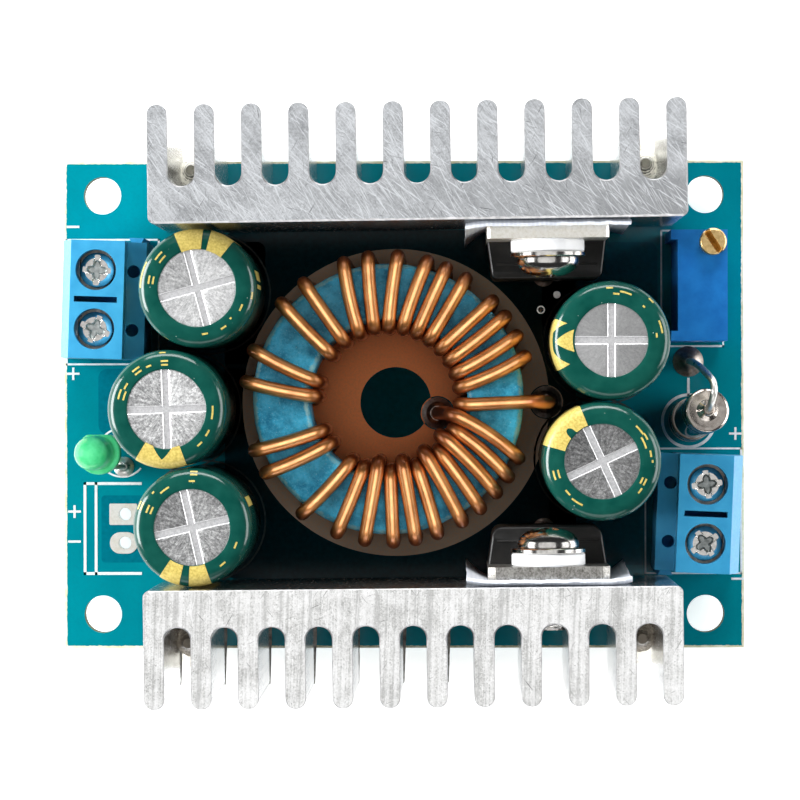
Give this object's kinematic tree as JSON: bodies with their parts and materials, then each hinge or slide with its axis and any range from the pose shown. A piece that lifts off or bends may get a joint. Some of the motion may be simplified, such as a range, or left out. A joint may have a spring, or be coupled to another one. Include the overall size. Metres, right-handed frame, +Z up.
{
  "type": "boost converter module",
  "caption": "Step-up power converter board with a toroid inductor, electrolytic capacitors, screw terminals and power devices clamped between two finned heatsinks.",
  "frame": {"origin": "centre of the four mounting holes, on the board's underside", "axes": "+X along the board's long side towards the input terminal, +Y towards the output-side heatsink, +Z up out of the component side"},
  "size_m": [0.06, 0.051, 0.0234],
  "materials": {
    "soldermask": "glossy teal solder mask on fibreglass",
    "extruded_aluminium": "bright extruded aluminium with sawn ends",
    "zinc_steel": "bright zinc plating",
    "tinned_copper": "satin tin plating",
    "black_epoxy": "satin black moulding",
    "silicone_pad": "matt woven silicone",
    "white_nylon": "satin white nylon",
    "core_paint": "satin epoxy paint on powdered iron",
    "enamelled_copper": "glossy enamel on copper",
    "can_aluminium": "satin drawn aluminium",
    "green_sleeve": "glossy shrink sleeve with gold marks",
    "black_rubber": "matt",
    "blue_terminal": "satin moulded",
    "nickel_steel": "bright nickel plating",
    "blue_trimmer": "satin moulded",
    "brass_screw": "satin",
    "green_lens": "diffused translucent",
    "fuse_glass": "clear",
    "tan_ceramic": "matt ceramic",
    "solder": "bright solder"
  },
  "bodies": {
    "board_assembly": {"circuit_board": "soldermask", "output_heatsink": "extruded_aluminium", "input_heatsink": "extruded_aluminium", "heatsink_screws": "zinc_steel", "inductor_core": "core_paint", "inductor_winding": "enamelled_copper", "capacitor_seals": "black_rubber", "capacitor_leads": "tinned_copper", "trimmer_body": "blue_trimmer", "trimmer_pins": "tinned_copper", "led_lens": "green_lens", "led_leads": "tinned_copper", "fuse_tube": "fuse_glass", "fuse_end_caps": "nickel_steel", "fuse_element": "tinned_copper", "fuse_leads": "tinned_copper", "controller_chip": "black_epoxy", "controller_chip_leads": "tinned_copper", "chip_resistors": "black_epoxy", "chip_capacitors": "tan_ceramic", "sense_resistor": "black_epoxy", "solder_joints": "solder", "rectifier_leadframe": "tinned_copper", "rectifier_body": "black_epoxy", "rectifier_thermal_pad": "silicone_pad", "rectifier_bush": "white_nylon", "rectifier_washer": "nickel_steel", "rectifier_screw": "nickel_steel", "switch_leadframe": "tinned_copper", "switch_body": "black_epoxy", "switch_thermal_pad": "silicone_pad", "switch_bush": "white_nylon", "switch_washer": "nickel_steel", "switch_screw": "nickel_steel", "output_capacitor_1_can": "can_aluminium", "output_capacitor_1_sleeve": "green_sleeve", "output_capacitor_2_can": "can_aluminium", "output_capacitor_2_sleeve": "green_sleeve", "output_capacitor_3_can": "can_aluminium", "output_capacitor_3_sleeve": "green_sleeve", "input_capacitor_1_can": "can_aluminium", "input_capacitor_1_sleeve": "green_sleeve", "input_capacitor_2_can": "can_aluminium", "input_capacitor_2_sleeve": "green_sleeve", "output_terminal_housing": "blue_terminal", "output_terminal_contacts": "tinned_copper", "input_terminal_housing": "blue_terminal", "input_terminal_contacts": "tinned_copper"},
    "output_minus_screw": {"output_screw_minus": "nickel_steel"},
    "output_minus_clamp": {"output_clamp_minus": "tinned_copper"},
    "output_plus_screw": {"output_screw_plus": "nickel_steel"},
    "output_plus_clamp": {"output_clamp_plus": "tinned_copper"},
    "input_plus_screw": {"input_screw_plus": "nickel_steel"},
    "input_plus_clamp": {"input_clamp_plus": "tinned_copper"},
    "input_minus_screw": {"input_screw_minus": "nickel_steel"},
    "input_minus_clamp": {"input_clamp_minus": "tinned_copper"},
    "trimmer_adjuster": {"trimmer_screw": "brass_screw"}
  },
  "joints": [
    {"name": "output_minus_screw_turn", "type": "hinge", "parent": "board_assembly", "child": "output_minus_screw", "pos_m": [-0.0263, 0.01164, 0.0111], "axis": [0, 0, -1], "range_deg": [0, 1440]},
    {"name": "output_minus_clamp_rise", "type": "slide", "parent": "board_assembly", "child": "output_minus_clamp", "axis": [0, 0, 1], "range_m": [0, 0.0018]},
    {"name": "output_plus_screw_turn", "type": "hinge", "parent": "board_assembly", "child": "output_plus_screw", "pos_m": [-0.02646, 0.00656, 0.0111], "axis": [0, 0, -1], "range_deg": [0, 1440]},
    {"name": "output_plus_clamp_rise", "type": "slide", "parent": "board_assembly", "child": "output_plus_clamp", "axis": [0, 0, 1], "range_m": [0, 0.0018]},
    {"name": "input_plus_screw_turn", "type": "hinge", "parent": "board_assembly", "child": "input_plus_screw", "pos_m": [0.02617, -0.00689, 0.0111], "axis": [0, 0, -1], "range_deg": [0, 1440]},
    {"name": "input_plus_clamp_rise", "type": "slide", "parent": "board_assembly", "child": "input_plus_clamp", "axis": [0, 0, 1], "range_m": [0, 0.0018]},
    {"name": "input_minus_screw_turn", "type": "hinge", "parent": "board_assembly", "child": "input_minus_screw", "pos_m": [0.02595, -0.01197, 0.0111], "axis": [0, 0, -1], "range_deg": [0, 1440]},
    {"name": "input_minus_clamp_rise", "type": "slide", "parent": "board_assembly", "child": "input_minus_clamp", "axis": [0, 0, 1], "range_m": [0, 0.0018]},
    {"name": "trimmer_turn", "type": "hinge", "parent": "board_assembly", "child": "trimmer_adjuster", "pos_m": [0.0266, 0.0139, 0.0116], "axis": [0, 0, -1], "continuous": true}
  ],
  "couplings": [
    {"joint": "output_minus_screw_turn", "follows": "output_minus_clamp_rise", "rad_per_m": 13963},
    {"joint": "output_plus_screw_turn", "follows": "output_plus_clamp_rise", "rad_per_m": 13963},
    {"joint": "input_plus_screw_turn", "follows": "input_plus_clamp_rise", "rad_per_m": 13963},
    {"joint": "input_minus_screw_turn", "follows": "input_minus_clamp_rise", "rad_per_m": 13963}
  ]
}
